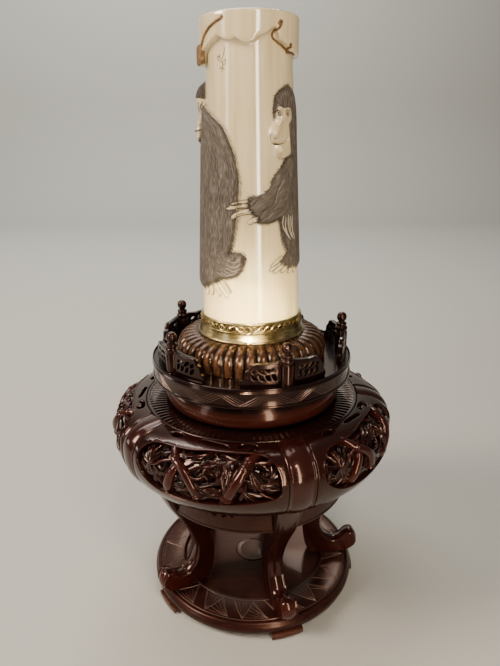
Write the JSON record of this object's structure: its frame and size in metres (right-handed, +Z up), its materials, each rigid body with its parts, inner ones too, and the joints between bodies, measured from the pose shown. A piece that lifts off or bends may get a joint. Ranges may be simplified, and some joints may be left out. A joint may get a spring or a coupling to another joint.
{
  "type": "carved tusk vase on stand",
  "caption": "Hollow tapering tusk vase with monkeys in relief, in a brass ring on a ribbed cushion, on a round pierced wooden stand with railing, swollen drum and curved legs.",
  "frame": {"origin": "on the surface it stands on, under the axis of the vase and the stand", "axes": "+Z up along the vase; the front, with the gap between the monkeys, faces -Y; +X to the right seen from the front"},
  "size_m": [0.2972, 0.2973, 0.5826],
  "materials": {
    "ivory": "satin",
    "brass": "polished",
    "dark_wood": "gloss",
    "brown_wood": "gloss"
  },
  "bodies": {
    "root": {"tusk_vase": "ivory", "brass_ring": "brass", "gadrooned_cushion": "brown_wood", "gallery_ring": "dark_wood", "gallery_post_1": "dark_wood", "gallery_post_2": "dark_wood", "gallery_post_3": "dark_wood", "gallery_post_4": "dark_wood", "gallery_post_5": "dark_wood", "gallery_wing_1_left": "dark_wood", "gallery_wing_1_right": "dark_wood", "gallery_wing_2_left": "dark_wood", "gallery_wing_2_right": "dark_wood", "gallery_wing_3_left": "dark_wood", "gallery_wing_3_right": "dark_wood", "gallery_wing_4_left": "dark_wood", "gallery_wing_4_right": "dark_wood", "gallery_wing_5_left": "dark_wood", "gallery_wing_5_right": "dark_wood", "top_board": "dark_wood", "bamboo_panel_1": "dark_wood", "bamboo_panel_2": "dark_wood", "bamboo_panel_3": "dark_wood", "bamboo_panel_4": "dark_wood", "bamboo_panel_5": "dark_wood", "apron_1": "dark_wood", "apron_2": "dark_wood", "apron_3": "dark_wood", "apron_4": "dark_wood", "apron_5": "dark_wood", "leg_1": "dark_wood", "leg_2": "dark_wood", "leg_3": "dark_wood", "leg_4": "dark_wood", "leg_5": "dark_wood", "base_board": "dark_wood", "foot_pad_1": "dark_wood", "foot_pad_2": "dark_wood", "foot_pad_3": "dark_wood", "foot_pad_4": "dark_wood", "foot_pad_5": "dark_wood"}
  },
  "joints": []
}
